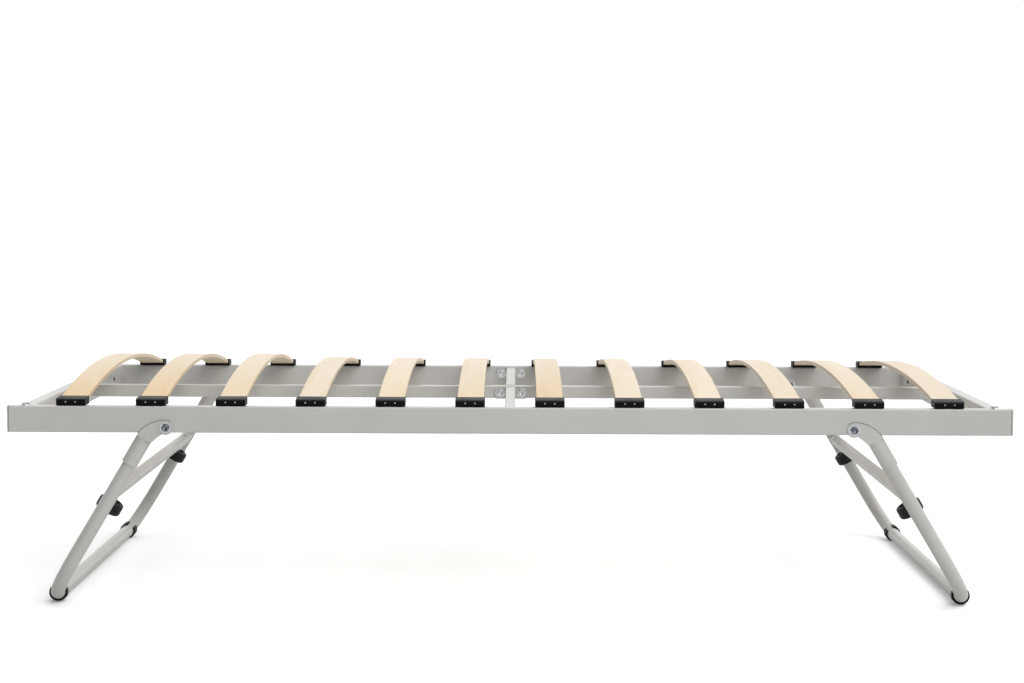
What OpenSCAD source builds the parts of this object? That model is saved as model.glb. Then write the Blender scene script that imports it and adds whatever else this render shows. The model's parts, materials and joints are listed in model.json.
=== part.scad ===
// Guest bed frame with bowed slats and two folding U-legs, for a 90 x 190 cm mattress.
// Origin: on the floor, under the middle of the bed. +X runs to the foot end, +Y to the rear, +Z up.

/* [Frame] */
// Length over the side rails' end caps
frame_l = 1900; // [1800:10:2000]
// Width over the side rails
frame_w = 900; // [800:10:1000]
// Height of the side rails' top face above the floor
rail_top = 392; // [380:1:420]
// Height of the rectangular rail tube
rail_h = 50; // [45:1:60]
// Thickness of the rectangular rail tube
rail_t = 25; // [22:1:30]
// Wall of the rail tube
rail_wall = 1.5; // [1.2:0.1:2.5]
// Outer corner radius of the rail tube
rail_round = 3; // [2:0.5:4]
// Distance from a side rail's end to the end rail's outer face
end_inset = 20; // [10:1:40]
// Thickness of a rail's plastic end cap
cap_t = 3; // [2:0.5:4]
// Side of the square centre rail
centre_w = 25; // [20:1:30]
// Drop of the centre rail's top below the side rails' top
centre_drop = 3; // [2:0.5:6]
// Side of the square cross bars
cross_w = 20; // [16:1:24]

/* [Slats] */
// Number of slats
slat_count = 12; // [12:1:12]
// Distance between slat centres
slat_pitch = 151; // [140:1:152]
// Width of a slat
slat_w = 50; // [45:1:53]
// Thickness of a slat
slat_t = 8; // [7:0.5:8]
// Number of deeply bowed slats at the head end
head_slats = 3; // [1:1:5]
// Rise of the head end slats between their holders
head_crown = 41; // [30:1:42]
// Rise of the first slat after the head end group
mid_crown = 32; // [20:1:40]
// Rise of the last slat at the foot end
foot_crown = 27; // [20:1:40]

/* [Slat holders] */
// Width of a holder along the rail
holder_w = 56; // [54:1:62]
// Depth of a holder across the rail
holder_d = 36; // [34:1:40]
// Distance of a holder's closed face from the rail's outer face
holder_setback = 4; // [2:0.5:6]
// Height of the collars that a holder stands on
holder_lift = 1; // [0.5:0.5:2]
// Spacing of a holder's two pegs
peg_spacing = 32; // [24:1:40]

/* [Legs] */
// Distance of the leg pivots from the middle of the bed
pivot_x = 650; // [600:5:700]
// Height of the leg pivots above the rails' underside
pivot_up = 10; // [9:0.1:10]
// Splay of an open leg from the vertical
leg_splay = 30.75; // [20:0.25:35]
// Distance of the leg tube's axis from the pivot
leg_offset = 25; // [25:0.5:30]
// Diameter of the leg tube
leg_d = 27; // [25:1:27]
// Wall of the leg tube
leg_wall = 1.5; // [1.2:0.1:2]
// Centreline radius of the leg tube's two bends
bend_r = 95; // [60:1:120]
// Side of the leg's square brace
brace_w = 20; // [16:1:22]
// Distance of the brace from the pivot, down the leg
brace_down = 162; // [140:1:170]
// Shift of the brace and rollers from the leg's middle plane, towards the bed's middle
brace_shift = 1.5; // [0:0.5:4]
// Thickness of the glides under the floor tube
glide_t = 3.7; // [2.5:0.1:4]

/* [Rollers] */
// Diameter of a storage roller
roller_d = 50; // [44:1:52]
// Length of a storage roller
roller_l = 24; // [20:1:32]
// Distance of the rollers' middle from the pivot, down the leg
roller_down = 201; // [199:1:210]
// Distance of the roller axles from the bed's middle plane
roller_y = 374; // [340:1:385]

/* [Hidden] */

$fn = 48;
eps = 0.01;

// Colours
steel = [0.72, 0.71, 0.69];
zinc = [0.78, 0.8, 0.82];
birch = [0.93, 0.84, 0.68];
black = [0.06, 0.06, 0.07];
pale = [0.8, 0.8, 0.78];

// Frame
side_y = (frame_w - rail_t) / 2;            // middle of a side rail
side_in = frame_w / 2 - rail_t;             // inner face of a side rail
rail_mid = rail_top - rail_h / 2;           // height of the rails' middle
end_x = frame_l / 2 - end_inset - rail_t / 2;
bolt_r = 4;                                 // every bolt is M8
bolt_fit = 0.1;                             // gap round a bolt that is clamped
head_af = 13;                               // across flats of an M8 head and nut
head_h = 5.3;                               // height of a head
head_chamfer = 0.8;
nut_hex_h = 5.5;                            // height of a lock nut's hexagon
nut_h = 7.5;                                // height of a lock nut with its collar
collar_r = 5.6;
washer_r = 11;
washer_t = 1.6;

// Centre rail and cross bars
centre_mid = rail_top - centre_drop - centre_w / 2;
centre_l = 2 * (end_x - rail_t / 2);
flange_w = 64;
flange_h = 26;
flange_t = 3;
flange_z = rail_top - centre_drop - flange_h / 2;
flange_bolt_x = 22;
cross_l = side_in - centre_w / 2 - 2 * flange_t;
cross_y = (side_in + centre_w / 2) / 2;
cross_mid = rail_top - centre_drop - 0.5 - cross_w / 2;
centre_face = centre_w / 2 + flange_t;      // outer face of a flange on the centre rail
side_face = side_in - flange_t;             // outer face of a flange on a side rail

// Corners
tongue_in = 40;                             // length of a tongue inside the end rail
tongue_out = 21;                            // length of a tongue inside the side rail
tongue_gap = 0.2;
tongue_wall = 2;
tongue_w = rail_t - 2 * rail_wall - 2 * tongue_gap;
tongue_h = rail_h - 2 * rail_wall - 2 * tongue_gap;
inner_round = rail_round - rail_wall + 0.7; // corner radius of what slides inside a rail tube
flange_r = 8.8;                             // flange of a corner bolt
flange_h1 = 1.4;
corner_shank = 14;
cap_plug_l = 18;
cap_plug_wall = 2;
plug_y = side_in - 85;
plug_r = 3;
plug_head_r = 4.6;
plug_head_t = 1.5;

// Slats and holders
mouth_y = frame_w / 2 - holder_setback - holder_d;  // where a slat leaves its holder
slat_end_y = mouth_y + 21;
slat_mouth_z = rail_top + 14.4;             // a slat's top face at the mouth
slat_edge = 0.8;                            // chamfer along a slat's edges
holder_mouth_z = 15.8;                      // a holder's height at its mouth
holder_slope = [[9, 13.8], [2.5, 12.2], [0, 10]];  // its top, from the mouth to the closed face
holder_corner = 2;
slot_gap = 0.2;                             // gap round a slat inside its holder
first_x = -slat_pitch * (slat_count - 1) / 2;
peg_r = 3.9;
peg_l = 8;
peg_collar_r = 6;
stud_r = 1.4;
stud_x = 9.1;
stud_z = holder_lift + 6.6;

// Legs, measured in a frame whose origin is the pivot and whose -Z runs down the leg
pivot_z = rail_top - rail_h + pivot_up;
glide_land = 0.8;                           // how deep a glide's flat land is cut
floor_axis = leg_d / 2 + glide_t - glide_land;
leg_l = (pivot_z + leg_offset * sin(leg_splay) - floor_axis) / cos(leg_splay);
leg_y = frame_w / 2 - leg_d / 2 - 1.5;      // middle plane of the uprights
leg_r = leg_d / 2;
sleeve_r = leg_r + 1.9;
sleeve_x = leg_offset + 1;                  // a bracket's sleeve stands prouder on its outer side
sleeve_top = 38;
sleeve_end = 97;
tube_top = 36.5;
plug_t = 1.5;
plate_t = 2;
plate_y = frame_w / 2 + 0.3;                // inner face of a bracket's plate
eye_r = 14;                                 // round end of the plate at the pivot
plate_low = 38;                             // the plate's lower edge, where it is joggled
joggle_edge = 2;
joggle_low = 44;                            // where the joggle has become the round sleeve
plate_out_x = leg_offset + leg_r + 1.2;     // the plate's outer edge, where it meets the sleeve
plate_out_z = -45;
plate_out_r = (pow(plate_out_x, 2) + pow(plate_out_z, 2) - pow(eye_r, 2)) / (2 * (plate_out_x - eye_r));
plate_in_x = leg_offset - leg_r + 0.8;      // the plate's hollow inner edge, where it meets the sleeve
plate_in_z = -68;
plate_in_r = 117;
joggle_in = sleeve_x - sleeve_r;
glide_from = 2;                             // where a glide starts round the bend, in degrees
glide_turn = 13;
glide_open = 28;                            // half the glide's opening, in degrees
brace_x = leg_offset - brace_shift;
brace_top = brace_down - brace_w / 2;
brace_base = brace_down + brace_w / 2;
brace_cope = 2;                             // how far the brace's ends reach round the leg tube
pivot_fit = 0.05;                           // running gap of the pivots and rollers
part_gap = 0.3;                             // gap between pieces that move past each other
roller_top = roller_down - roller_l / 2;
roller_round = 5;
hub_r = 11;
hub_depth = 5;
groove_w = 3;                               // ring groove round the hub
groove_depth = 3;
nut_seat = roller_top + roller_l - hub_depth + part_gap;

// Leg pivots
pivot_face = plate_y + plate_t + part_gap;  // inner face of a pivot's outer washer
pivot_washer_r = 12;

function slat_x(i) = first_x + slat_pitch * i;
function slat_crown(i) = i < head_slats ? head_crown
    : mid_crown + (foot_crown - mid_crown) * (i - head_slats) / (slat_count - 1 - head_slats);
// Radius of a slat's top face, from its rise over the chord between the two mouths
function slat_r(i) = (pow(mouth_y, 2) + pow(slat_crown(i), 2)) / (2 * slat_crown(i));

// ---- Shared shapes ----

module round_rect(w, h, r) {
    square([w - 2 * r, h], center = true);
    square([w, h - 2 * r], center = true);
    for (sx = [-1, 1], sy = [-1, 1])
        translate([sx * (w / 2 - r), sy * (h / 2 - r)]) circle(r);
}

module tube_section(w, h, wall, r) {
    difference() {
        round_rect(w, h, r);
        round_rect(w - 2 * wall, h - 2 * wall, r - wall + 0.2);
    }
}

module along_x(l) {
    rotate([90, 0, 90]) linear_extrude(l, center = true) children();
}

module along_y(l) {
    rotate([90, 0, 0]) linear_extrude(l, center = true) children();
}

// A cylinder along Y from y0 to y1
module rod_y(r, y0, y1) {
    translate([0, y0, 0]) rotate([-90, 0, 0]) cylinder(h = y1 - y0, r = r);
}

module washer(r, t) {
    difference() {
        cylinder(h = t, r = r);
        translate([0, 0, -1]) cylinder(h = t + 2, r = bolt_r + bolt_fit);
    }
}

// Hexagon head with a chamfered top, its seat at z = 0
module hex_head(t) {
    top_r = head_af / 2 - head_chamfer;
    intersection() {
        cylinder(h = t, r = head_af / sqrt(3), $fn = 6);
        cylinder(h = t, r1 = top_r + t, r2 = top_r);
    }
}

module hex_bolt(shank) {
    hex_head(head_h);
    translate([0, 0, -shank]) cylinder(h = shank + eps, r = bolt_r);
}

// Lock nut with its collar, its seat at z = 0
module lock_nut() {
    difference() {
        union() {
            hex_head(nut_hex_h);
            cylinder(h = nut_h, r = collar_r);
        }
        translate([0, 0, -1]) cylinder(h = nut_h + 2, r = bolt_r + bolt_fit);
    }
}

// ---- Fixed frame ----

// A side rail at the rear; the front one is its mirror image
module side_rail() {
    difference() {
        translate([0, side_y, rail_mid])
            along_x(frame_l - 2 * cap_t) tube_section(rail_t, rail_h, rail_wall, rail_round);
        for (i = [0 : slat_count - 1], s = [-1, 1])
            translate([slat_x(i) + s * peg_spacing / 2, side_y, rail_top - rail_wall - 1])
                cylinder(h = rail_wall + 2, r = peg_r + bolt_fit);
        for (s = [-1, 1]) {
            translate([s * end_x, side_y, rail_top - rail_wall - 1])
                cylinder(h = rail_wall + 2, r = bolt_r + bolt_fit);
            translate([s * end_x, side_in + rail_wall / 2, rail_mid])
                cube([tongue_w + tongue_gap, rail_wall + 4, tongue_h + tongue_gap], center = true);
            translate([s * pivot_x, 0, pivot_z])
                rod_y(bolt_r + bolt_fit, side_in - 1, frame_w / 2 + 1);
            translate([s * flange_bolt_x, 0, flange_z])
                rod_y(bolt_r + bolt_fit, side_in - 1, side_in + rail_wall + 1);
        }
    }
}

module front_side_rail() {
    color(steel) mirror([0, 1, 0]) side_rail();
}

module rear_side_rail() {
    color(steel) side_rail();
}

// An end rail at the foot end, with the holes of its two plugs
module end_rail() {
    difference() {
        translate([end_x, 0, rail_mid])
            along_y(2 * side_in) tube_section(rail_t, rail_h, rail_wall, rail_round);
        for (s = [-1, 1])
            translate([end_x - rail_t / 2 - 1, s * plug_y, rail_mid])
                rotate([0, 90, 0]) cylinder(h = rail_wall + 2, r = plug_r + bolt_fit);
    }
}

module left_end_rail() {
    color(steel) mirror([1, 0, 0]) end_rail();
}

module right_end_rail() {
    color(steel) end_rail();
}

module centre_rail() {
    color(steel) difference() {
        translate([0, 0, centre_mid])
            along_x(centre_l) tube_section(centre_w, centre_w, rail_wall, 2);
        for (s = [-1, 1])
            translate([s * flange_bolt_x, 0, flange_z]) rod_y(bolt_r + bolt_fit, -centre_w, centre_w);
    }
}

module cross_bar() {
    translate([0, cross_y, cross_mid])
        along_y(cross_l) tube_section(cross_w, cross_w, rail_wall, 2);
}

module front_cross_bar() {
    color(steel) mirror([0, 1, 0]) cross_bar();
}

module rear_cross_bar() {
    color(steel) cross_bar();
}

// One flange plate, its outer face at y = 0 and its body towards -Y
module flange() {
    difference() {
        translate([0, -flange_t / 2, flange_z]) along_y(flange_t) round_rect(flange_w, flange_h, 2);
        for (s = [-1, 1])
            translate([s * flange_bolt_x, 0, flange_z]) rod_y(bolt_r + bolt_fit, -flange_t - 1, 1);
    }
}

module cross_bar_flanges() {
    color(steel) for (s = [0, 1]) mirror([0, s, 0]) {
        translate([0, side_in, 0]) flange();
        translate([0, centre_w / 2 + flange_t, 0]) flange();
    }
}

// Places children at both bolts of a cross bar end, with their +Z towards dir along Y
module at_flange_bolts(y, dir) {
    for (s = [-1, 1])
        translate([s * flange_bolt_x, y, flange_z]) rotate([-90 * dir, 0, 0]) children();
}

module cross_bar_bolts() {
    color(zinc) {
        at_flange_bolts(-centre_face - washer_t, -1) hex_bolt(centre_w + 2 * flange_t + 2 * washer_t + 9);
        at_flange_bolts(side_face - washer_t, -1) hex_bolt(flange_t + washer_t + rail_wall + 8);
        at_flange_bolts(-side_face + washer_t, 1) hex_bolt(flange_t + washer_t + rail_wall + 8);
    }
}

module cross_bar_washers() {
    color(zinc) for (s = [0, 1]) mirror([0, s, 0]) {
        at_flange_bolts(centre_face, 1) washer(washer_r, washer_t);
        at_flange_bolts(side_face, -1) washer(washer_r, washer_t);
    }
}

// Two lock nuts behind the centre rail, and four weld nuts inside the side rails
module cross_bar_nuts() {
    color(zinc) {
        at_flange_bolts(centre_face + washer_t, 1) lock_nut();
        for (s = [0, 1]) mirror([0, s, 0])
            at_flange_bolts(side_in + rail_wall, 1) lock_nut();
    }
}

// Plastic caps that close the side rails, each with a plug inside the tube
module side_rail_end_caps() {
    color(pale) for (sx = [0, 1], sy = [0, 1]) mirror([sx, 0, 0]) mirror([0, sy, 0])
        translate([frame_l / 2, side_y, rail_mid]) {
            translate([-cap_t / 2, 0, 0]) along_x(cap_t) round_rect(rail_t, rail_h, rail_round);
            translate([-cap_t - cap_plug_l / 2, 0, 0]) along_x(cap_plug_l) tube_section(
                rail_t - 2 * rail_wall - tongue_gap, rail_h - 2 * rail_wall - tongue_gap,
                cap_plug_wall, inner_round);
        }
}

// Short tubes welded into the end rails; each passes through a window into the side rail
module corner_tongues() {
    tongue_l = tongue_in + tongue_out;
    color(steel) for (sx = [0, 1], sy = [0, 1]) mirror([sx, 0, 0]) mirror([0, sy, 0])
        difference() {
            translate([end_x, side_in + (tongue_out - tongue_in) / 2, rail_mid])
                along_y(tongue_l) tube_section(tongue_w, tongue_h, tongue_wall, inner_round);
            translate([end_x, side_y, rail_top - rail_wall - tongue_gap - tongue_wall - 1])
                cylinder(h = tongue_wall + 2, r = bolt_r + bolt_fit);
        }
}

module at_corners() {
    for (sx = [-1, 1], sy = [-1, 1])
        translate([sx * end_x, sy * side_y, rail_top]) children();
}

// Flanged hexagon bolts, down through the side rails' tops into the tongues
module corner_bolts() {
    color(zinc) at_corners() {
        cylinder(h = flange_h1, r1 = flange_r, r2 = flange_r - 0.6);
        hex_bolt(corner_shank);
    }
}

module corner_nuts() {
    color(zinc) at_corners()
        translate([0, 0, -rail_wall - tongue_gap - tongue_wall]) mirror([0, 0, 1]) lock_nut();
}

module end_rail_plugs() {
    color(black) for (sx = [0, 1], sy = [-1, 1]) mirror([sx, 0, 0])
        translate([end_x - rail_t / 2, sy * plug_y, rail_mid]) rotate([0, 90, 0]) {
            translate([0, 0, -plug_head_t])
                cylinder(h = plug_head_t, r1 = plug_head_r - 1, r2 = plug_head_r);
            cylinder(h = 5, r = plug_r);
        }
}

// ---- Slats and holders ----

// Cross-section of a slat, grown by gap on every side; x is radial, the top face at x = 0
module slat_section(gap) {
    w = slat_w / 2 + gap;
    polygon([
        [gap - slat_edge, -w], [gap, slat_edge - w], [gap, w - slat_edge], [gap - slat_edge, w],
        [slat_edge - slat_t - gap, w], [-slat_t - gap, w - slat_edge],
        [-slat_t - gap, slat_edge - w], [slat_edge - slat_t - gap, -w]
    ]);
}

// Slat i as a bent strip between the two planes at y = -end_y and y = end_y
module slat_arc(i, end_y, gap) {
    r = slat_r(i);
    half = asin((end_y + 3) / (r - slat_t));
    translate([slat_x(i), 0, slat_mouth_z + slat_crown(i) - r])
        intersection() {
            rotate([0, -90, 0]) rotate([0, 0, -half])
                rotate_extrude(angle = 2 * half, $fn = 720) translate([r, 0]) slat_section(gap);
            translate([-slat_w, -end_y, 0]) cube([2 * slat_w, 2 * end_y, 2 * r]);
        }
}

module slat(i) {
    color(birch) slat_arc(i, slat_end_y, 0);
}

// Side view of a holder: x runs inwards from its closed face, y up from the rail's top
module holder_profile() {
    polygon(concat(
        [[0, holder_lift], [holder_d, holder_lift], [holder_d, holder_mouth_z]], holder_slope));
}

// Plan of a holder, its closed face at y = 0 and its mouth towards -Y
module holder_plan() {
    c = holder_corner;
    w = holder_w / 2;
    polygon([
        [-w, -holder_d], [w, -holder_d], [w, -1.5 * c], [w - c, 0], [c - w, 0], [-w, -1.5 * c]
    ]);
}

module holder_body() {
    intersection() {
        translate([0, 0, -1]) linear_extrude(30) holder_plan();
        rotate([90, 0, -90]) linear_extrude(2 * holder_w, center = true) holder_profile();
    }
}

// Holder of slat i at the rear; the front ones are mirror images
module holder(i) {
    difference() {
        translate([slat_x(i), frame_w / 2 - holder_setback, rail_top]) union() {
            holder_body();
            for (s = [-1, 1]) translate([s * peg_spacing / 2, holder_setback - rail_t / 2, 0]) {
                cylinder(h = holder_lift + eps, r = peg_collar_r);
                translate([0, 0, -peg_l]) cylinder(h = peg_l + holder_lift, r = peg_r);
            }
        }
        slat_arc(i, slat_end_y + slot_gap, slot_gap);
        for (s = [-1, 1])
            translate([slat_x(i) + s * stud_x, 0, rail_top + stud_z])
                rod_y(stud_r, frame_w / 2 - holder_setback - 3, frame_w / 2);
    }
}

module rear_slat_holders() {
    color(black) for (i = [0 : slat_count - 1]) holder(i);
}

module front_slat_holders() {
    color(black) mirror([0, 1, 0]) for (i = [0 : slat_count - 1]) holder(i);
}

// Pale rubber studs, moulded through the closed face of every holder
module holder_studs() {
    color(pale) for (i = [0 : slat_count - 1], m = [0, 1], s = [-1, 1])
        mirror([0, m, 0]) translate([slat_x(i) + s * stud_x, 0, rail_top + stud_z])
            rod_y(stud_r - 0.05, frame_w / 2 - holder_setback - 2.9, frame_w / 2 - holder_setback + 0.4);
}

// ---- Legs ----

// Puts a piece drawn in the leg's own frame on the open right leg, or on the left one
module on_leg(left) {
    mirror([left ? 1 : 0, 0, 0])
        translate([pivot_x, 0, pivot_z]) rotate([0, -leg_splay, 0]) children();
}

module ring(r) {
    difference() {
        circle(r, $fn = 72);
        circle(r - leg_wall, $fn = 72);
    }
}

// The leg tube: two uprights, two bends and the floor tube
module leg_tube(left) {
    upright = leg_l - bend_r - tube_top;
    flat = 2 * (leg_y - bend_r);
    color(steel) on_leg(left) translate([leg_offset, 0, -leg_l]) {
        rotate([90, 0, 0]) linear_extrude(flat, center = true) ring(leg_r);
        for (m = [0, 1]) mirror([0, m, 0]) {
            translate([0, leg_y, bend_r]) linear_extrude(upright) ring(leg_r);
            translate([0, leg_y - bend_r, bend_r])
                rotate([90, 0, 90]) rotate([0, 0, -90])
                    rotate_extrude(angle = 90, $fn = 96) translate([bend_r, 0]) ring(leg_r);
        }
    }
}

module leg_brace(left) {
    brace_l = 2 * (leg_y - sqrt(pow(leg_r, 2) - pow(brace_w / 2, 2)) + brace_cope);
    color(steel) on_leg(left) difference() {
        translate([brace_x, 0, -brace_down])
            along_y(brace_l) tube_section(brace_w, brace_w, rail_wall, 2);
        for (s = [-1, 1]) {
            translate([leg_offset, s * leg_y, -brace_down - brace_w]) cylinder(h = 2 * brace_w, r = leg_r);
            translate([brace_x, s * roller_y, -brace_down - brace_w])
                cylinder(h = 2 * brace_w, r = bolt_r + bolt_fit);
        }
    }
}

// Outline of a bracket's plate, seen from the side
module plate_outline() {
    out_c = [plate_out_x - plate_out_r, plate_out_z];
    in_c = [plate_in_x - plate_in_r, plate_in_z];
    circle(eye_r);
    difference() {
        intersection() {
            translate(out_c) circle(plate_out_r, $fn = 240);
            polygon([
                [-eye_r / 2, 0], [eye_r, 2 * eye_r], [plate_out_r, 2 * eye_r],
                [plate_out_r, -plate_low], [-eye_r / 2, -plate_low]
            ]);
        }
        translate(in_c) circle(plate_in_r, $fn = 480);
    }
}

// Rear bracket: a sleeve round the leg tube, joggled out into a flat plate with the pivot hole
module bracket(left, front) {
    color(steel) on_leg(left) mirror([0, front ? 1 : 0, 0]) difference() {
        union() {
            translate([sleeve_x, leg_y, -sleeve_end])
                cylinder(h = sleeve_end - sleeve_top, r = sleeve_r, $fn = 72);
            hull() {
                translate([sleeve_x, leg_y, -joggle_low]) intersection() {
                    cylinder(h = 1, r = sleeve_r, $fn = 32);
                    translate([-2 * sleeve_r, 0, -1]) cube([4 * sleeve_r, 2 * sleeve_r, 3]);
                }
                translate([joggle_in, plate_y, -plate_low])
                    cube([plate_out_x - joggle_in, plate_t, joggle_edge]);
            }
            translate([0, plate_y + plate_t, 0]) rotate([90, 0, 0])
                linear_extrude(plate_t) plate_outline();
        }
        translate([leg_offset, leg_y, -sleeve_end - 1])
            cylinder(h = sleeve_end - sleeve_top + 30, r = leg_r + 0.05, $fn = 72);
        rod_y(bolt_r + pivot_fit, leg_y, leg_y + 30);
    }
}

// Rubber plugs in the leg tube's top ends; they bear on the side rails when the leg is open
module leg_plugs(left) {
    color(black) on_leg(left) for (s = [-1, 1])
        translate([leg_offset, s * leg_y, -tube_top]) {
            cylinder(h = plug_t, r = leg_r, $fn = 72);
            translate([0, 0, -14]) cylinder(h = 14 + eps, r = leg_r - leg_wall - 0.05);
        }
}

// Glides clipped round the start of the bends, each with a flat land on the floor
module glides(left) {
    wedge = 40;
    color(black) difference() {
        on_leg(left) for (m = [0, 1]) mirror([0, m, 0])
            translate([leg_offset, leg_y - bend_r, bend_r - leg_l])
                rotate([90, 0, 90]) rotate([0, 0, glide_from - 90])
                    rotate_extrude(angle = glide_turn, $fn = 360) translate([bend_r, 0]) difference() {
                        circle(leg_r + glide_t, $fn = 72);
                        circle(leg_r + 0.05, $fn = 72);
                        polygon([
                            [0, 0], [-wedge * cos(glide_open), wedge * sin(glide_open)],
                            [-wedge * cos(glide_open), -wedge * sin(glide_open)]
                        ]);
                    }
        translate([-frame_l, -frame_w, -10]) cube([2 * frame_l, 2 * frame_w, 10]);
    }
}

// ---- Rollers ----

module at_axles(left) {
    on_leg(left) for (s = [-1, 1]) translate([brace_x, s * roller_y, 0]) children();
}

module roller_bolts(left) {
    color(zinc) at_axles(left) translate([0, 0, -brace_top])
        hex_bolt(nut_seat + nut_h - 0.5 - brace_top);
}

module roller_spacers(left) {
    spacer_l = roller_top - brace_base - part_gap;
    color(zinc) at_axles(left) translate([0, 0, -brace_base - spacer_l]) washer(7, spacer_l);
}

module roller_nuts(left) {
    color(zinc) at_axles(left) translate([0, 0, -nut_seat]) mirror([0, 0, 1]) lock_nut();
}

// Half section of a roller, x from its axis, with a hub recess in its lower end
module roller_section() {
    r = roller_d / 2;
    c = roller_round;
    difference() {
        union() {
            square([r - c, roller_l]);
            translate([0, c]) square([r, roller_l - 2 * c]);
            for (y = [c, roller_l - c]) translate([r - c, y]) circle(c, $fn = 48);
        }
        translate([-1, -1]) square([1 + bolt_r + pivot_fit, roller_l + 2]);
        translate([-1, -1]) square([1 + hub_r, 1 + hub_depth]);
        translate([hub_r + 3, -1]) square([groove_w, 1 + groove_depth]);
    }
}

module roller(left, front) {
    color(black) on_leg(left)
        translate([brace_x, (front ? -1 : 1) * roller_y, -roller_top - roller_l])
            rotate_extrude($fn = 96) roller_section();
}

// ---- Leg pivots ----

module at_pivots(y) {
    for (sx = [-1, 1], m = [0, 1]) mirror([0, m, 0])
        translate([sx * pivot_x, y, pivot_z]) rotate([-90, 0, 0]) children();
}

module pivot_bolts() {
    color(zinc) at_pivots(pivot_face + washer_t)
        hex_bolt(pivot_face + 2 * washer_t - side_in + 9);
}

module pivot_washers() {
    color(zinc) {
        at_pivots(pivot_face) washer(pivot_washer_r, washer_t);
        at_pivots(side_in - washer_t) washer(washer_r, washer_t);
    }
}

module pivot_nuts() {
    color(zinc) at_pivots(side_in - washer_t) mirror([0, 0, 1]) lock_nut();
}

front_side_rail();
rear_side_rail();
left_end_rail();
right_end_rail();
centre_rail();
front_cross_bar();
rear_cross_bar();
cross_bar_flanges();
cross_bar_bolts();
cross_bar_washers();
cross_bar_nuts();
side_rail_end_caps();
corner_tongues();
corner_bolts();
corner_nuts();
end_rail_plugs();
slat(0);  // slat_01
slat(1);  // slat_02
slat(2);  // slat_03
slat(3);  // slat_04
slat(4);  // slat_05
slat(5);  // slat_06
slat(6);  // slat_07
slat(7);  // slat_08
slat(8);  // slat_09
slat(9);  // slat_10
slat(10);  // slat_11
slat(11);  // slat_12
front_slat_holders();
rear_slat_holders();
holder_studs();
pivot_bolts();
pivot_washers();
pivot_nuts();
leg_tube(true);  // left_leg_tube
leg_tube(false);  // right_leg_tube
leg_brace(true);  // left_leg_brace
leg_brace(false);  // right_leg_brace
bracket(true, true);  // front_left_bracket
bracket(true, false);  // rear_left_bracket
bracket(false, true);  // front_right_bracket
bracket(false, false);  // rear_right_bracket
leg_plugs(true);  // left_leg_plugs
leg_plugs(false);  // right_leg_plugs
glides(true);  // left_glides
glides(false);  // right_glides
roller_bolts(true);  // left_roller_bolts
roller_bolts(false);  // right_roller_bolts
roller_spacers(true);  // left_roller_spacers
roller_spacers(false);  // right_roller_spacers
roller_nuts(true);  // left_roller_nuts
roller_nuts(false);  // right_roller_nuts
roller(true, true);  // front_left_roller
roller(true, false);  // rear_left_roller
roller(false, true);  // front_right_roller
roller(false, false);  // rear_right_roller
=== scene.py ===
"""Looks for a guest bed frame: powder-coated steel, bowed birch slats, moulded plastic, zinc bolts."""

import json
import math
import random

import bmesh
import bpy
from mathutils import Euler, Matrix, Vector


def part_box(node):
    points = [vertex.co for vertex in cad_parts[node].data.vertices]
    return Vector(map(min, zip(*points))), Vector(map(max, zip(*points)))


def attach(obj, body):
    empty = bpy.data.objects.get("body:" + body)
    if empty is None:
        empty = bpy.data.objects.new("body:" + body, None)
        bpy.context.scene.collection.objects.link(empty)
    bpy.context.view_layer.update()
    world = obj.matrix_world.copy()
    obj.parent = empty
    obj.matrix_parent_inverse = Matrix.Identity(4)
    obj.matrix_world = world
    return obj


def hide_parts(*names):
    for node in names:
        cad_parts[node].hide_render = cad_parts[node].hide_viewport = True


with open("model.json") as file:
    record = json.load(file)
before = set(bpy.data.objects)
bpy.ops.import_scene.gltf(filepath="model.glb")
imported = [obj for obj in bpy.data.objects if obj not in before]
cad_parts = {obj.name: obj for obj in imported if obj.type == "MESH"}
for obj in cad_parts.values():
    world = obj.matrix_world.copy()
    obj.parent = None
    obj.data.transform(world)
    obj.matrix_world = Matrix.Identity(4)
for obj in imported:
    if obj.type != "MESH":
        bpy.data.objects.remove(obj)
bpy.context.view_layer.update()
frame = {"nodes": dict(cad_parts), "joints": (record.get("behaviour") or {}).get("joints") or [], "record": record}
nodes = frame["nodes"]

# ---- Sizes, in metres ----

MM = 0.001
RAIL_T = 25 * MM            # thickness of a rail tube
RAIL_H = 50 * MM
CORNER_R = 3 * MM
CAP_T = 3 * MM
LEG_R = 13.5 * MM           # radius of a leg tube
LEG_OFFSET = 25 * MM        # from the pivot to the leg tube's axis
LEG_WAY = 15 * MM           # from the side rails' outer faces in to the leg tubes' axes
SLEEVE_R = 15.4 * MM
SLEEVE_X = 26 * MM
SLEEVE_END = 97 * MM        # from the pivot, down the leg, to a bracket sleeve's lower end
LIP_R = 0.9 * MM
EYE_R = 14 * MM             # round end of a bracket's plate, at the pivot
PLATE_OUT = Vector((39.7 * MM, -45 * MM))    # where the plate's bowed upper edge meets the sleeve
PLATE_OUT_R = (PLATE_OUT.length_squared - EYE_R ** 2) / (2 * (PLATE_OUT.x - EYE_R))
PLATE_LOW = 38 * MM
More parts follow.
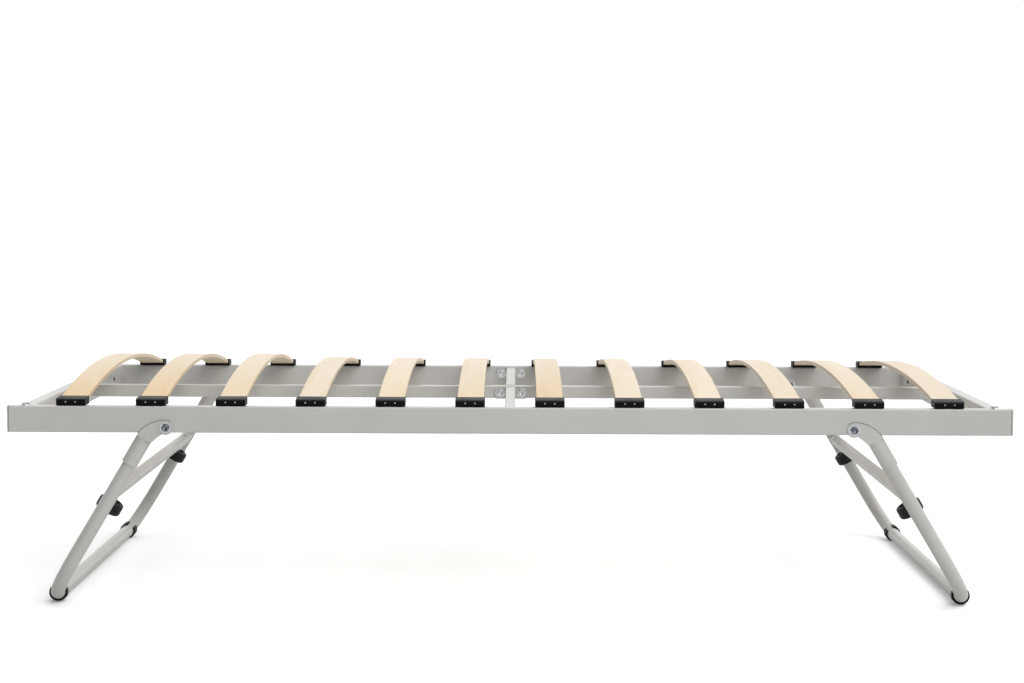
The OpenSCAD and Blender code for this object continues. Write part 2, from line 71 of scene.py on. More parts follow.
# Painted shadow line round each bracket plate: its radius, and its gap from the rail
PLATE_SHADOW_R = 0.4 * MM
PLATE_SHADOW_GAP = 0.15 * MM        # between a painted shadow line and the rail it slides over
CAP_SHADOW_LINE_R = 0.45 * MM      # the painted shadow line between a side rail and its end cap
CAP_SHADOW_LINE_SINK = 0.25 * MM
TUBE_CORNER = 2 * MM        # corner radius of the square tubes
WELD_R = 1.4 * MM
WELD_LEAN = 0.6             # how far a weld leans along its tube, against 1 outwards
RIPPLE = 1.5 * MM           # length of one ripple along a bead
BRACE_W = 20 * MM
BRACE_X = 23.5 * MM
BRACE_DOWN = 162 * MM
CROSS_W = 20 * MM
CROSS_DOWN = 13.5 * MM      # from the rails' tops to the cross bars' middle
CENTRE_W = 25 * MM
CENTRE_DOWN = 15.5 * MM
FLANGE_T = 3 * MM
FLANGE_DOWN = 16 * MM
FLANGE_BOLT_X = 22 * MM
WASHER_T = 1.6 * MM
ROLLER_Y = 374 * MM
ROLLER_TOP = 189 * MM       # from the pivot, down the leg, to a roller's upper end
ROLLER_R = 25 * MM
ROLLER_L = 24 * MM
HUB_R = 11 * MM             # hollow in a roller's lower face, round its nut
HUB_DEPTH = 5 * MM
SHOULDER_R = 5 * MM         # rounding of a roller's edges
TREAD_GROOVES = (8.6 * MM, 12 * MM, 15.4 * MM)    # from a roller's upper end
ROLLER_RIBS = 8
SLAT_T = 8 * MM
PLY_T = 1.34 * MM           # one veneer of a slat
MOUTH_Y = 410 * MM          # where the slats leave their holders
MOUTH_UP = 14.4 * MM

BOLT_R = 4 * MM             # every bolt is M8
HEAD_FLAT = 6.5 * MM        # from a head's axis to its flats
HEAD_H = 5.3 * MM
COLLAR_R = 8.8 * MM         # flange under a corner bolt's head
PIVOT_NUT = 9.1 * MM        # from a nut's seat to the end of its bolt
ROLLER_NUT = 7.3 * MM
CENTRE_NUT = 9 * MM
THREAD_PITCH = 1.25 * MM
THREAD_DEPTH = 0.5 * MM

SHARP = math.radians(30)    # edges turned by more than this look sharp
SOFTENED = math.radians(35)    # CAD edges turned by more than this are rounded

LENS_MM = 70.63
CAMERA_PLACE = (0.00903, -4.21952, 0.81006)
CAMERA_DOWN = 4.438         # degrees below level, left of square on, and rolled
CAMERA_LEFT = 0.0858
CAMERA_ROLL = 0.2149
FLOOR_HALF = 30.0
FLOOR_DOWN = 0.2 * MM       # just under the feet

rail_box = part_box("rear_side_rail")
HALF_W = rail_box[1].y
RAIL_TOP = rail_box[1].z
SIDE_IN = HALF_W - RAIL_T   # inner face of a side rail
END_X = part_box("right_end_rail")[0].x + RAIL_T / 2
SIDES = {"left": -1, "right": 1}
ENDS = {"front": -1, "rear": 1}
joints = {joint["name"]: joint for joint in frame["joints"]}


# ---- Node graphs ----

class Graph:
    """A material and short ways to add nodes to it."""

    def __init__(self, name):
        self.material = bpy.data.materials.new(name)
        self.material.use_nodes = True
        self.tree = self.material.node_tree
        self.shader = self.tree.nodes["Principled BSDF"]
        self.place = self.add("ShaderNodeTexCoord").outputs["Object"]

    def put(self, node, socket, value):
        if isinstance(value, bpy.types.NodeSocket):
            self.tree.links.new(value, node.inputs[socket])
        else:
            node.inputs[socket].default_value = value

    def add(self, kind, inputs=None, **settings):
        node = self.tree.nodes.new(kind)
        for key, value in settings.items():
            setattr(node, key, value)
        for socket, value in (inputs or {}).items():
            self.put(node, socket, value)
        return node

    def math(self, operation, a, b=0.0):
        return self.add("ShaderNodeMath", {0: a, 1: b}, operation=operation).outputs[0]

    def stretched(self, scale, offset=(0, 0, 0)):
        """The object's own coordinates, scaled along each axis."""
        return self.add("ShaderNodeMapping", {
            "Vector": self.place, "Scale": scale, "Location": offset}).outputs[0]

    def noise(self, scale, detail=3.0, rough=0.5, vector=None, warp=0.0):
        return self.add("ShaderNodeTexNoise", {
            "Vector": vector or self.place, "Scale": scale, "Detail": detail,
            "Roughness": rough, "Distortion": warp}).outputs["Fac"]

    def cells(self, scale):
        return self.add("ShaderNodeTexVoronoi", {
            "Vector": self.place, "Scale": scale}).outputs["Distance"]

    def ramp(self, value, low, high, to_low=0.0, to_high=1.0):
        """value from low..high to to_low..to_high, held at both ends."""
        return self.add("ShaderNodeMapRange", {
            "Value": value, "From Min": low, "From Max": high,
            "To Min": to_low, "To Max": to_high}).outputs["Result"]

    def mix(self, share, a, b):
        node = self.add("ShaderNodeMix", data_type="RGBA")
        for socket, value in ((0, share), (6, a), (7, b)):
            if isinstance(value, tuple):
                value = (*value, 1.0)
            self.put(node, socket, value)
        return node.outputs[2]

    def bump(self, height, depth, under=None):
        inputs = {"Height": height, "Distance": depth, "Strength": 1.0}
        if under is not None:
            inputs["Normal"] = under
        return self.add("ShaderNodeBump", inputs).outputs["Normal"]

    def finish(self, **inputs):
        """Sets the shader's inputs, with _ for a space in their names."""
        for socket, value in inputs.items():
            socket = socket.replace("_", " ")
            if isinstance(value, tuple):
                value = (*value, 1.0)
            self.put(self.shader, socket, value)
        return self.material


def shade(colour, factor):
    """A colour made darker or lighter."""
    return tuple(channel * factor for channel in colour)


def painted_steel():
    """Satin powder coat: orange peel, faint patches and a few rubbed specks."""
    g = Graph("painted_steel")
    paint = (0.495, 0.488, 0.464)
    patches = g.noise(7, 4, 0.6)
    specks = g.ramp(g.noise(420, 2, 0.7), 0.70, 0.78)
    tone = g.mix(g.ramp(patches, 0.35, 0.65), shade(paint, 0.965), shade(paint, 1.03))
    colour = g.mix(g.math("MULTIPLY", specks, 0.25), tone, shade(paint, 0.72))
    peel = g.bump(g.noise(520, 2, 0.45), 0.00006)
    waves = g.bump(g.noise(60, 2, 0.4), 0.00012, peel)
    return g.finish(Base_Color=colour, Roughness=g.ramp(patches, 0.3, 0.7, 0.28, 0.37), Normal=waves)


def zinc(name, dark, light):
    """Zinc plate with a faint straw cloud; the forged pivot bolts get a darker blue copy, painted dark to stand in
    for dark reflections.
    """
    g = Graph(name)
    cloud = g.noise(160, 4, 0.6)
    tint = g.ramp(g.noise(55, 2, 0.5), 0.35, 0.65)
    straw = (light[0], 0.93 * light[1], 0.75 * light[2])
    colour = g.mix(g.math("MULTIPLY", tint, 0.25), g.mix(cloud, dark, light), straw)
    fine = g.bump(g.noise(2600, 3, 0.7), 0.00003)
    return g.finish(Base_Color=colour, Metallic=1.0, Roughness=g.ramp(cloud, 0.3, 0.7, 0.14, 0.30),
                    Normal=fine)


def plastic(name, colour, rough, grain, gloss=0.5):
    """Moulded plastic with a spark-eroded grain and slight flow marks."""
    g = Graph(name)
    flow = g.noise(28, 3, 0.55, g.stretched((1, 1, 2.2)))
    tone = g.mix(g.ramp(flow, 0.3, 0.7), shade(colour, 0.82), shade(colour, 1.18))
    pits = g.bump(g.cells(grain), 0.00005)
    soft = g.bump(g.noise(grain * 0.6, 2, 0.6), 0.00004, pits)
    return g.finish(Base_Color=tone, Roughness=g.ramp(flow, 0.3, 0.7, rough - 0.05, rough + 0.06),
                    Normal=soft, Specular_IOR_Level=gloss)


def birch(seed, crown, radius, warm):
    """Varnished, laminated birch. Veneers follow the slat's arc, whose top is at height crown."""
    g = Graph(f"birch_{seed:02d}")
    draw = random.Random(seed)
    shift = (draw.uniform(-9, 9), draw.uniform(-9, 9), draw.uniform(-9, 9))
    pale = (0.735, 0.63, 0.48)
    honey = (0.67, 0.455, 0.20)
    tint = draw.uniform(0.97, 1.03)

    # How deep a point lies under the bowed top face
    split = g.add("ShaderNodeSeparateXYZ", {"Vector": g.place}).outputs
    up = g.math("SUBTRACT", split[2], crown - radius)
    reach = g.math("SQRT", g.math("ADD", g.math("MULTIPLY", up, up), g.math("MULTIPLY", split[1], split[1])))
    depth = g.math("SUBTRACT", radius, reach)
    veneer = g.math("MULTIPLY", depth, 1 / PLY_T)
    cross = g.math("GREATER_THAN", g.math("MODULO", veneer, 2.0), 1.0)
    glue = g.ramp(g.math("ABSOLUTE", g.math("SUBTRACT", g.math("FRACT", veneer), 0.5)), 0.44, 0.5)

    # Figure, fine grain and short pores, all long along the slat
    figure = g.noise(1, 3, 0.55, g.stretched((34, 1.5, 34), shift), 0.8)
    fibres = g.noise(1, 4, 0.65, g.stretched((620, 9, 620), shift))
    pores = g.ramp(g.noise(1, 1, 0.5, g.stretched((1500, 70, 1500), shift)), 0.66, 0.74)
    near = g.ramp(split[1], -0.40, 0.05, 1.0, 0.12)
    heart = g.math("MULTIPLY", near, warm)
    streaks = g.math("MULTIPLY", g.ramp(figure, 0.36, 0.64), 0.30)
    warmth = g.math("MAXIMUM", streaks, g.math("MULTIPLY", heart, g.ramp(figure, 0.25, 0.6, 0.7, 1.0)))
    wood = g.mix(warmth, shade(pale, tint), shade(honey, tint))
    wood = g.mix(g.ramp(fibres, 0.35, 0.75, 0.0, 0.22), wood, shade(honey, 0.92 * tint))
    wood = g.mix(g.math("MULTIPLY", pores, 0.35), wood, (0.40, 0.25, 0.12))
    edge = g.mix(g.math("MULTIPLY", cross, 0.5), wood, (0.50, 0.33, 0.18))
    edge = g.mix(g.math("MULTIPLY", glue, 0.6), edge, (0.30, 0.17, 0.08))
    inside = g.ramp(depth, 0.0003, 0.0006)
    outside = g.ramp(depth, SLAT_T - 0.0006, SLAT_T - 0.0003)
    on_edge = g.math("MULTIPLY", inside, g.math("SUBTRACT", 1.0, outside))
    colour = g.mix(on_edge, wood, edge)
    grain = g.bump(fibres, 0.00005)
    pitted = g.bump(pores, -0.00006, grain)
    return g.finish(Base_Color=colour, Roughness=g.ramp(figure, 0.3, 0.7, 0.40, 0.52),
                    Normal=pitted, Coat_Weight=0.25, Coat_Roughness=0.3)


# ---- Mesh helpers ----

def around(count):
    """Angles evenly spaced round a circle."""
    return [2 * math.pi * n / count for n in range(count)]


class Shape:
    """Vertices and faces, gathered from several closed shells."""

    def __init__(self):
        self.points, self.faces = [], []

    def add(self, points, faces, place):
        first = len(self.points)
        self.points += [place @ Vector(point) for point in points]
        self.faces += [tuple(first + k for k in face) for face in faces]

    def turned(self, profile, place, segments=48, ring=False):
        """A profile turned about Z: (radius, height) pairs, or functions of the angle that give one.

        The ends are closed by flat caps, or by each other where ring is true.
        """
        points, faces = [], []
        for step in profile:
            for angle in around(segments):
                radius, height = step(angle) if callable(step) else step
                points.append((radius * math.cos(angle), radius * math.sin(angle), height))
        self.add(points, self.skin(len(profile), segments, ring), place)

    def swept(self, sections, place, ring=False):
        """Cross-sections joined one to the next, capped at both ends unless they close a ring."""
        points = [point for section in sections for point in section]
        self.add(points, self.skin(len(sections), len(sections[0]), ring), place)

    @staticmethod
    def skin(rows, columns, ring):
        faces = []
        for row in range(rows if ring else rows - 1):
            a, b = row * columns, (row + 1) % rows * columns
            for k in range(columns):
                n = (k + 1) % columns
                faces.append((a + k, a + n, b + n, b + k))
        if not ring:
            faces.append(tuple(reversed(range(columns))))
            faces.append(tuple(range((rows - 1) * columns, rows * columns)))
        return faces

    def piece(self, name, body, slot, material, replaced=()):
        """One object from all the shells, riding on a body."""
        mesh = bpy.data.meshes.new(name)
        mesh.from_pydata(self.points, [], self.faces)
        tidy = bmesh.new()
        tidy.from_mesh(mesh)
        bmesh.ops.recalc_face_normals(tidy, faces=tidy.faces)
        tidy.to_mesh(mesh)
        tidy.free()
        mesh.shade_smooth()
        mesh.set_sharp_from_angle(angle=SHARP)
        mesh.materials.append(material)
        piece = bpy.data.objects.new(name, mesh)
        bpy.context.scene.collection.objects.link(piece)
        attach(piece, body)
        if replaced:
            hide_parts(*replaced)


def soften(node, width, segments=2):
    """A small round on a CAD node's sharp edges."""
    bevel = nodes[node].modifiers.new("soft_edges", "BEVEL")
    bevel.width = width
    bevel.segments = segments
    bevel.limit_method = "ANGLE"
    bevel.angle_limit = SOFTENED


def facing(place, direction):
    """Puts local +Z along direction, with its origin at place."""
    return Matrix.Translation(place) @ Vector(direction).to_track_quat("Z", "Y").to_matrix().to_4x4()


def leg_frame(side):
    """From a leg's own frame (origin at the pivot, -Z down the leg) to the row frame."""
    splay = math.asin(abs(joints[f"front_{side}_roller_spin"]["axis"][0]))
    mirror = Matrix.Scale(SIDES[side], 4, (1, 0, 0))
    return Matrix.Translation(joints[f"{side}_leg_fold"]["pos_m"]) @ mirror @ Matrix.Rotation(-splay, 4, "Y")


# ---- Detail pieces ----

def bead(shape, path, out, radius, place, seed, ring=True):
    """A rippled bead along a path; out gives the direction away from the joint at each point."""
    draw = random.Random(seed)
    sections = []
    run = 0.0
    count = len(path)
    for k, point in enumerate(path):
        point = Vector(point)
        after, before = Vector(path[(k + 1) % count]), Vector(path[k - 1])
        if not ring:
            after = Vector(path[min(k + 1, count - 1)])
            before = Vector(path[max(k - 1, 0)])
        ahead = (after - before).normalized()
        away = Vector(out[k]).normalized()
        across = ahead.cross(away).normalized()
        size = radius * (1 + 0.16 * abs(math.sin(math.pi * run / RIPPLE)) + draw.uniform(-0.05, 0.05))
        sections.append([point + size * (math.cos(t) * away + math.sin(t) * across) for t in around(8)])
        run += (after - before).length / 2
    shape.swept(sections, place, ring)


def tube_path(half_x, half_y, corner):
    """Points round a rounded rectangle in the XY plane, with the direction out of it at each one."""
    step = 0.5 * MM
    points, outs = [], []
    for quarter in range(4):
        turn = Matrix.Rotation(quarter * math.pi / 2, 2)
        far, side = (half_x, half_y) if quarter % 2 == 0 else (half_y, half_x)
        inner = side - corner
        along = int(2 * inner / step)
        for k in range(along):
            points.append(turn @ Vector((far, -inner + 2 * inner * k / along)))
            outs.append(turn @ Vector((1, 0)))
        for k in range(6):
            angle = math.pi / 2 * k / 6
            way = Vector((math.cos(angle), math.sin(angle)))
            points.append(turn @ (Vector((far - corner, inner)) + corner * way))
            outs.append(turn @ way)
    return points, outs


def square_weld(shape, half, place, seed):
    """A weld round the end of a square tube that stands on place's XY plane."""
    points, outs = tube_path(half, half, TUBE_CORNER)
    bead(shape, [(x, y, 0.0) for x, y in points], [(x, y, WELD_LEAN) for x, y in outs],
         WELD_R, place, seed)


def add_frame_welds():
    """Welds at both ends of the cross bars and of the centre rail."""
    welds = Shape()
    cross_z, centre_z = RAIL_TOP - CROSS_DOWN, RAIL_TOP - CENTRE_DOWN
    for k, sign in enumerate(ENDS.values()):
        for n, (y, way) in enumerate(((CENTRE_W / 2 + FLANGE_T, 1), (SIDE_IN - FLANGE_T, -1))):
            place = facing((0, sign * y, cross_z), (0, sign * way, 0))
            square_weld(welds, CROSS_W / 2, place, 10 * k + n)
        end = facing((sign * (END_X - RAIL_T / 2), 0, centre_z), (-sign, 0, 0))
        square_weld(welds, CENTRE_W / 2, end, 30 + k)
    welds.piece("frame_welds", "frame", "painted_steel", STEEL)


def add_cap_shadow_lines():
    """A black bead that paints the shadow of the gap between each side rail and its end cap."""
    joint = Shape()
    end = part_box("side_rail_end_caps")[1].x - CAP_T
    points, outs = tube_path(RAIL_H / 2, RAIL_T / 2, CORNER_R)
    turn = Matrix.Rotation(math.pi / 2, 4, "Y")
    along = Vector((0, 0, 1))
    sections = []
    for point, out in zip(points, outs):
        out = Vector((*out, 0.0))
        centre = Vector((*point, 0.0)) - out * CAP_SHADOW_LINE_SINK
        sections.append([centre + CAP_SHADOW_LINE_R * (math.cos(t) * out + math.sin(t) * along) for t in around(8)])
    for x in (-end, end):
        for sign in ENDS.values():
            place = Matrix.Translation((x, sign * (HALF_W - RAIL_T / 2), RAIL_TOP - RAIL_H / 2))
            joint.swept(sections, place @ turn, ring=True)
    # Black plastic beads that paint the shadow at the cap joints
    joint.piece("cap_shadow_lines", "frame", "black_plastic", BLACK_PLASTIC)


def add_leg_welds(side):
    """Beads where the brace meets the leg tube, and the rolled lips of the bracket sleeves."""
    welds, lips = Shape(), Shape()
    place = leg_frame(side)
    uprights = HALF_W - LEG_WAY
    for k, sign in enumerate(ENDS.values()):
        points, outs = tube_path(BRACE_W / 2, BRACE_W / 2, TUBE_CORNER)
        path = []
        for x, z in points:
            inset = math.sqrt(LEG_R ** 2 - (BRACE_X + x - LEG_OFFSET) ** 2)
            path.append((BRACE_X + x, sign * (uprights - inset), z - BRACE_DOWN))
        bead(welds, path, [(x, -WELD_LEAN * sign, z) for x, z in outs], WELD_R, place, 50 + k)

        rim = Matrix.Translation((SLEEVE_X, sign * uprights, -SLEEVE_END))
        mid = SLEEVE_R - 0.3 * MM
        lips.turned([(mid + LIP_R * math.cos(t), LIP_R * math.sin(t)) for t in around(10)],
                    place @ rim, 96, ring=True)
    welds.piece(f"{side}_leg_welds", f"{side}_leg", "painted_steel", STEEL)
    lips.piece(f"{side}_sleeve_lips", f"{side}_leg", "painted_steel", STEEL)


def add_plate_shadow_lines(side):
    """A thin dark bead, a painted shadow line where the upper edge of each bracket's plate meets the side rail."""
    shadow_lines = Shape()
    middle = Vector((PLATE_OUT.x - PLATE_OUT_R, PLATE_OUT.y))
    tangent = math.atan2(-middle.y, -middle.x)
    low = math.asin((-PLATE_LOW - middle.y) / PLATE_OUT_R)
    over = math.radians(105)    # past the top of the eye
    path, outs = [], []
    for centre, radius, first, last, count in (
            (middle, PLATE_OUT_R, low, tangent, 80), (Vector((0, 0)), EYE_R, tangent, over, 14)):
        for n in range(count):
            angle = first + (last - first) * n / count
            out = Vector((math.cos(angle), math.sin(angle)))
            path.append(centre + (radius + PLATE_SHADOW_R / 2) * out)
            outs.append((out.x, 0.0, out.y))
    for k, sign in enumerate(ENDS.values()):
        y = sign * (HALF_W + PLATE_SHADOW_GAP + PLATE_SHADOW_R)
        bead(shadow_lines, [(x, y, z) for x, z in path], outs, PLATE_SHADOW_R, leg_frame(side), 70 + k, ring=False)
    # Black plastic beads that paint the shadow gap round each plate
    shadow_lines.piece(f"{side}_plate_shadow_lines", f"{side}_leg", "black_plastic", BLACK_PLASTIC)


def hex_radius(angle):
    """From a head's axis to its edge."""
    return HEAD_FLAT / math.cos(angle % (math.pi / 3) - math.pi / 6)


def hex_head(shape, place):
    """A forged head: washer face, flats, 30 degree chamfer and a dish."""
    rim = 0.93 * HEAD_FLAT

    def top(angle):
        radius = hex_radius(angle)
        return radius, HEAD_H - (radius - rim) * math.tan(math.radians(30))

    shape.turned([
        (0.2 * HEAD_FLAT, 0.0), (0.92 * HEAD_FLAT, 0.0), (0.92 * HEAD_FLAT, 0.4 * MM),
        lambda angle: (hex_radius(angle), 0.4 * MM), top, (rim, HEAD_H),
        (0.66 * HEAD_FLAT, HEAD_H), (0.48 * HEAD_FLAT, HEAD_H - 0.9 * MM),
        (0.25 * HEAD_FLAT, HEAD_H - 1.5 * MM), (0.05 * HEAD_FLAT, HEAD_H - 1.7 * MM)], place, 72)


def shank(shape, length, threaded, place):
    """A bolt's shank, with a real helix over its threaded end."""
    step = THREAD_PITCH / 6
    core = BOLT_R - THREAD_DEPTH
    profile = [(core - 0.6 * MM, -length), (core, -length + 0.6 * MM)]

    def flank(height):
        def at(angle):
            phase = (height / THREAD_PITCH + angle / (2 * math.pi)) % 1.0
            return BOLT_R - THREAD_DEPTH * abs(2 * phase - 1), height
        return at

    for k in range(int((threaded - 1 * MM) / step)):
        profile.append(flank(-length + 1 * MM + k * step))
    profile += [(BOLT_R - 0.05 * MM, -length + threaded + 0.4 * MM), (BOLT_R - 0.05 * MM, 0.0)]
    shape.turned(profile, place, 24)


def bolt(shape, length, place, threaded=14 * MM):
    """A bolt whose head stands on place's XY plane, with its shank below."""
    hex_head(shape, place)
    shank(shape, length, min(threaded, length - 2 * MM), place)


def add_bolts():
    """Forged heads and real threads in place of the plain bolts."""
    pivots = Shape()
    pivot = Vector(joints["right_leg_fold"]["pos_m"])
    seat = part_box("pivot_bolts")[1].y - HEAD_H
    inner = SIDE_IN - WASHER_T - PIVOT_NUT
    for x in (-pivot.x, pivot.x):
        for sign in ENDS.values():
            bolt(pivots, seat - inner, facing((x, sign * seat, pivot.z), (0, sign, 0)), 16 * MM)
    # The pivot bolts wear the darker zinc, which paints dark reflections
    pivots.piece("pivot_bolts_detail", "frame", "zinc", DARK_REFLECTION_ZINC, ["pivot_bolts"])

    crosses = Shape()
    nut_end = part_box("cross_bar_bolts")[1].y
    z = RAIL_TOP - FLANGE_DOWN
    through = CENTRE_W / 2 + FLANGE_T + WASHER_T
    at_side = SIDE_IN - FLANGE_T - WASHER_T
    for x in (-FLANGE_BOLT_X, FLANGE_BOLT_X):
        bolt(crosses, 2 * through + CENTRE_NUT, facing((x, -through, z), (0, -1, 0)))
        for sign in ENDS.values():
            bolt(crosses, nut_end - at_side, facing((x, sign * at_side, z), (0, -sign, 0)), 9 * MM)
    crosses.piece("cross_bar_bolts_detail", "frame", "zinc", ZINC, ["cross_bar_bolts"])

    corners = Shape()
    low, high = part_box("corner_bolts")
    for x in (-END_X, END_X):
        for sign in ENDS.values():
            place = facing((x, sign * (high.y - COLLAR_R), RAIL_TOP), (0, 0, 1))
            bolt(corners, RAIL_TOP - low.z, place, 10 * MM)
            corners.turned([
                (3 * MM, 0.0), (COLLAR_R, 0.0), (COLLAR_R, 0.4 * MM), (COLLAR_R - 0.9 * MM, 1.2 * MM),
                (7.6 * MM, 1.7 * MM), (3 * MM, 1.8 * MM)], place, 64)
    corners.piece("corner_bolts_detail", "frame", "zinc", ZINC, ["corner_bolts"])

    seat = BRACE_DOWN - BRACE_W / 2
    length = ROLLER_TOP + ROLLER_L - HUB_DEPTH + ROLLER_NUT - seat
    for side in SIDES:
        axles = Shape()
        for sign in ENDS.values():
            place = leg_frame(side) @ Matrix.Translation((BRACE_X, sign * ROLLER_Y, -seat))
            bolt(axles, length, place, 12 * MM)
        axles.piece(f"{side}_roller_bolts_detail", f"{side}_leg", "zinc", ZINC, [f"{side}_roller_bolts"])


def add_roller(side, end):
    """A moulded wheel: grooved tread, round shoulders, a hub and ribs in its upper face."""
    r, depth = ROLLER_R, ROLLER_L
    bore = BOLT_R + 0.05 * MM

    def web(radius):
        def at(angle):
            rib = max(0.0, 1 - abs((angle * ROLLER_RIBS / (2 * math.pi)) % 1.0 - 0.5) / 0.11)
            return radius, -2.6 * MM + 1.8 * MM * min(1.0, rib * 1.6)
        return at

    def shoulder(first, last, middle):
        steps = 7
        angles = [math.radians(first + (last - first) * n / steps) for n in range(steps + 1)]
        return [(r - SHOULDER_R + SHOULDER_R * math.cos(a), middle + SHOULDER_R * math.sin(a))
                for a in angles]

    def groove(height):
        wide, deep = 0.8 * MM, 0.7 * MM
        return [(r, height + wide), (r - deep, height + wide / 2),
                (r - deep, height - wide / 2), (r, height - wide)]

    profile = [(bore, -0.2 * MM), (9 * MM, -0.2 * MM), (9.5 * MM, -0.7 * MM), web(9.8 * MM), web(16.4 * MM)]
    profile += [(16.8 * MM, -0.5 * MM), (17.2 * MM, 0.0)]
    profile += shoulder(90, 0, -SHOULDER_R)
    for down in TREAD_GROOVES:
        profile += groove(-down)
    profile += shoulder(0, -90, -depth + SHOULDER_R)
    profile += [
        (17 * MM, -depth), (16.7 * MM, -depth + 3 * MM), (14.3 * MM, -depth + 3 * MM), (14 * MM, -depth),
        (HUB_R + 0.3 * MM, -depth), (HUB_R, -depth + 0.4 * MM), (HUB_R, -depth + HUB_DEPTH),
        (bore, -depth + HUB_DEPTH)]
    wheel = Shape()
    middle = Matrix.Translation((BRACE_X, ENDS[end] * ROLLER_Y, -ROLLER_TOP))
    wheel.turned(profile, leg_frame(side) @ middle, 96, ring=True)
    name = f"{end}_{side}_roller"
    wheel.piece(f"{name}_wheel", f"{name}_body", "black_roller", BLACK_ROLLER, [name])


# ---- Camera, light and floor ----

def add_camera():
    """The photo's own view, solved from the rails' ends, the slats' pitch and the feet."""
    camera = bpy.data.objects.new("camera", bpy.data.cameras.new("camera"))
    bpy.context.scene.collection.objects.link(camera)
    camera.data.sensor_width = 36
    camera.data.lens = LENS_MM
    camera.data.clip_end = 100
    turn = Euler((math.radians(90 - CAMERA_DOWN), 0, math.radians(CAMERA_LEFT))).to_matrix()
    roll = Matrix.Rotation(math.radians(CAMERA_ROLL), 3, "Z")
    camera.matrix_world = Matrix.Translation(CAMERA_PLACE) @ (turn @ roll).to_4x4()
    bpy.context.scene.camera = camera


def add_light(name, kind, place, aim, power, **settings):
    """A lamp at place that shines at aim, and that the camera doesn't see."""
    lamp = bpy.data.lights.new(name, kind)
    lamp.energy = power
    for key, value in settings.items():
        setattr(lamp, key, value)
    light = bpy.data.objects.new(name, lamp)
    bpy.context.scene.collection.objects.link(light)
    light.location = place
    light.rotation_euler = (Vector(aim) - Vector(place)).to_track_quat("-Z", "Y").to_euler()
    light.visible_camera = False


def add_world():
    """A white backdrop, with soft light that is dim from the front and bright from behind the bed."""
    world = bpy.data.worlds.new("studio")
    world.use_nodes = True
    nodes_of, links = world.node_tree.nodes, world.node_tree.links
    split = nodes_of.new("ShaderNodeSeparateXYZ")
    links.new(nodes_of.new("ShaderNodeTexCoord").outputs["Generated"], split.inputs[0])
    rise = nodes_of.new("ShaderNodeMapRange")
    links.new(split.outputs["Y"], rise.inputs["Value"])
    for socket, value in (("From Min", -0.35), ("From Max", 0.85), ("To Min", 0.13), ("To Max", 1.2)):
        rise.inputs[socket].default_value = value
    room = nodes_of["Background"]
    links.new(rise.outputs["Result"], room.inputs["Strength"])
    room.inputs["Color"].default_value = (1.0, 1.0, 1.0, 1.0)
    backdrop = nodes_of.new("ShaderNodeBackground")
    backdrop.inputs["Color"].default_value = (1.0, 1.0, 1.0, 1.0)
    mix = nodes_of.new("ShaderNodeMixShader")
    links.new(nodes_of.new("ShaderNodeLightPath").outputs["Is Camera Ray"], mix.inputs[0])
    links.new(room.outputs[0], mix.inputs[1])
    links.new(backdrop.outputs[0], mix.inputs[2])
    links.new(mix.outputs[0], nodes_of["World Output"].inputs["Surface"])
    bpy.context.scene.world = world


def add_studio():
    """Backdrop, two lamps and a plain pale floor."""
    add_world()
    add_light("overhead", "SUN", (1.7, -0.8, 2.6), (0, 0, 0), 2.1, angle=math.radians(70))
    add_light("key", "AREA", (0.7, -3.5, 2.1), (0.1, 0, 0.30), 44, size=1.7)

    # The floor looks lighter to the camera than the light it throws back, or it would flood the underside
    g = Graph("studio_floor")
    tone = g.mix(g.noise(0.7, 2), (0.96, 0.96, 0.96), (0.99, 0.99, 0.99))
    seen = g.add("ShaderNodeLightPath").outputs["Is Camera Ray"]
    pale = g.finish(Base_Color=g.mix(seen, (0.52, 0.52, 0.515), tone), Roughness=0.8,
                    Emission_Color=(1.0, 1.0, 1.0), Emission_Strength=0.16)
    mesh = bpy.data.meshes.new("floor")
    corners = [(x * FLOOR_HALF, y * FLOOR_HALF, 0) for x, y in ((-1, -1), (1, -1), (1, 1), (-1, 1))]
    mesh.from_pydata(corners, [], [(0, 1, 2, 3)])
    mesh.materials.append(pale)
    floor = bpy.data.objects.new("floor", mesh)
    floor.location.z = -FLOOR_DOWN
    bpy.context.scene.collection.objects.link(floor)
    bpy.context.scene.view_settings.view_transform = "Standard"


# ---- Build ----

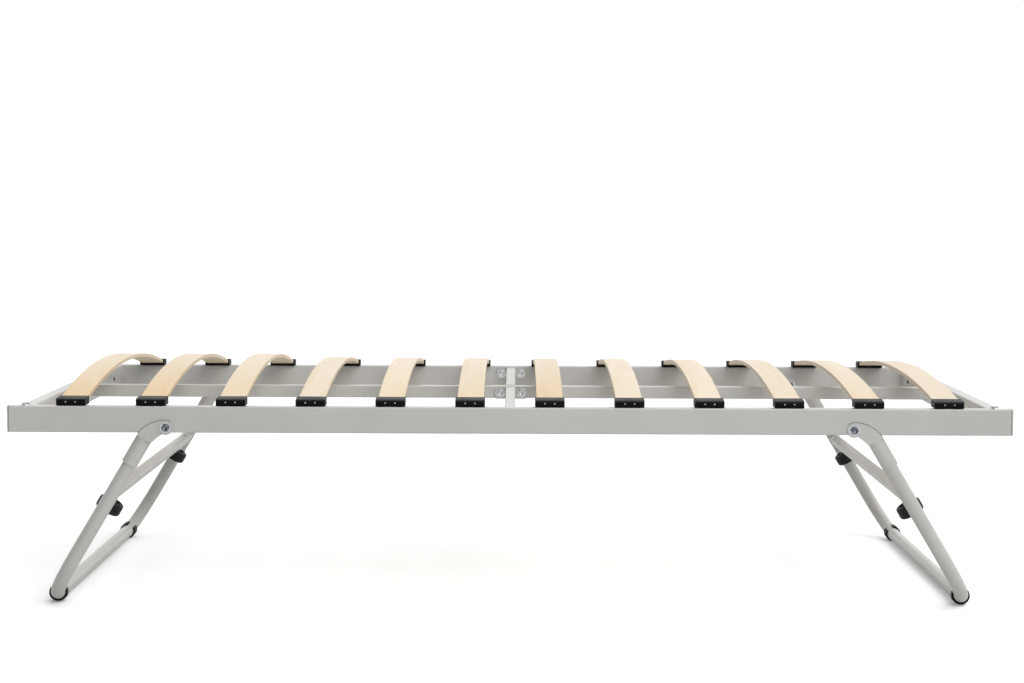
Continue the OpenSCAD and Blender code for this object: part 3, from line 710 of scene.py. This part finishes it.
add_camera()
add_studio()

STEEL = painted_steel()
ZINC = zinc("zinc", (0.50, 0.51, 0.52), (0.74, 0.77, 0.82))
# Darker blue copy of zinc for the pivot bolts: its dark colour is painted dark reflection
DARK_REFLECTION_ZINC = zinc("dark_reflection_zinc", (0.09, 0.10, 0.125), (0.22, 0.25, 0.30))
GREY_PLASTIC = plastic("grey_plastic", (0.50, 0.495, 0.475), 0.42, 900)
STUD_PLASTIC = plastic("stud_plastic", (0.40, 0.39, 0.37), 0.42, 900)
BLACK_PLASTIC = plastic("black_plastic", (0.005, 0.005, 0.006), 0.38, 1100, 0.06)
BLACK_ROLLER = plastic("black_roller", (0.006, 0.006, 0.007), 0.46, 800, 0.3)
FINISHES = {
    "painted_steel": STEEL, "zinc": ZINC, "grey_plastic": GREY_PLASTIC,
    "black_plastic": BLACK_PLASTIC, "black_roller": BLACK_ROLLER,
}
# How orange the front end of a slat is, where it stands out; the others are pale
WARM_SLATS = {1: 0.85, 2: 0.9, 3: 0.5, 5: 0.4, 6: 0.35, 7: 0.8, 11: 0.35}
slot_of = {part["node"]: part["material_slot"] for part in frame["record"]["subparts"]}

for name, node in nodes.items():
    if slot_of[name] == "birch":
        number = int(name[-2:])
        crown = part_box(name)[1].z
        rise = crown - RAIL_TOP - MOUTH_UP
        finish = birch(number, crown, (MOUTH_Y ** 2 + rise ** 2) / (2 * rise), WARM_SLATS.get(number, 0.1))
    elif name == "holder_studs":
        finish = STUD_PLASTIC
    else:
        finish = FINISHES[slot_of[name]]
    node.data.materials.clear()
    node.data.materials.append(finish)

add_frame_welds()
add_cap_shadow_lines()
add_bolts()
for side in SIDES:
    add_leg_welds(side)
    add_plate_shadow_lines(side)
    for end in ENDS:
        add_roller(side, end)
soften("side_rail_end_caps", 1.0 * MM, 3)
for name in ("front_slat_holders", "rear_slat_holders", "cross_bar_flanges"):
    soften(name, 0.5 * MM)
for name in nodes:
    if name.endswith("bracket"):
        soften(name, 0.7 * MM, 3)
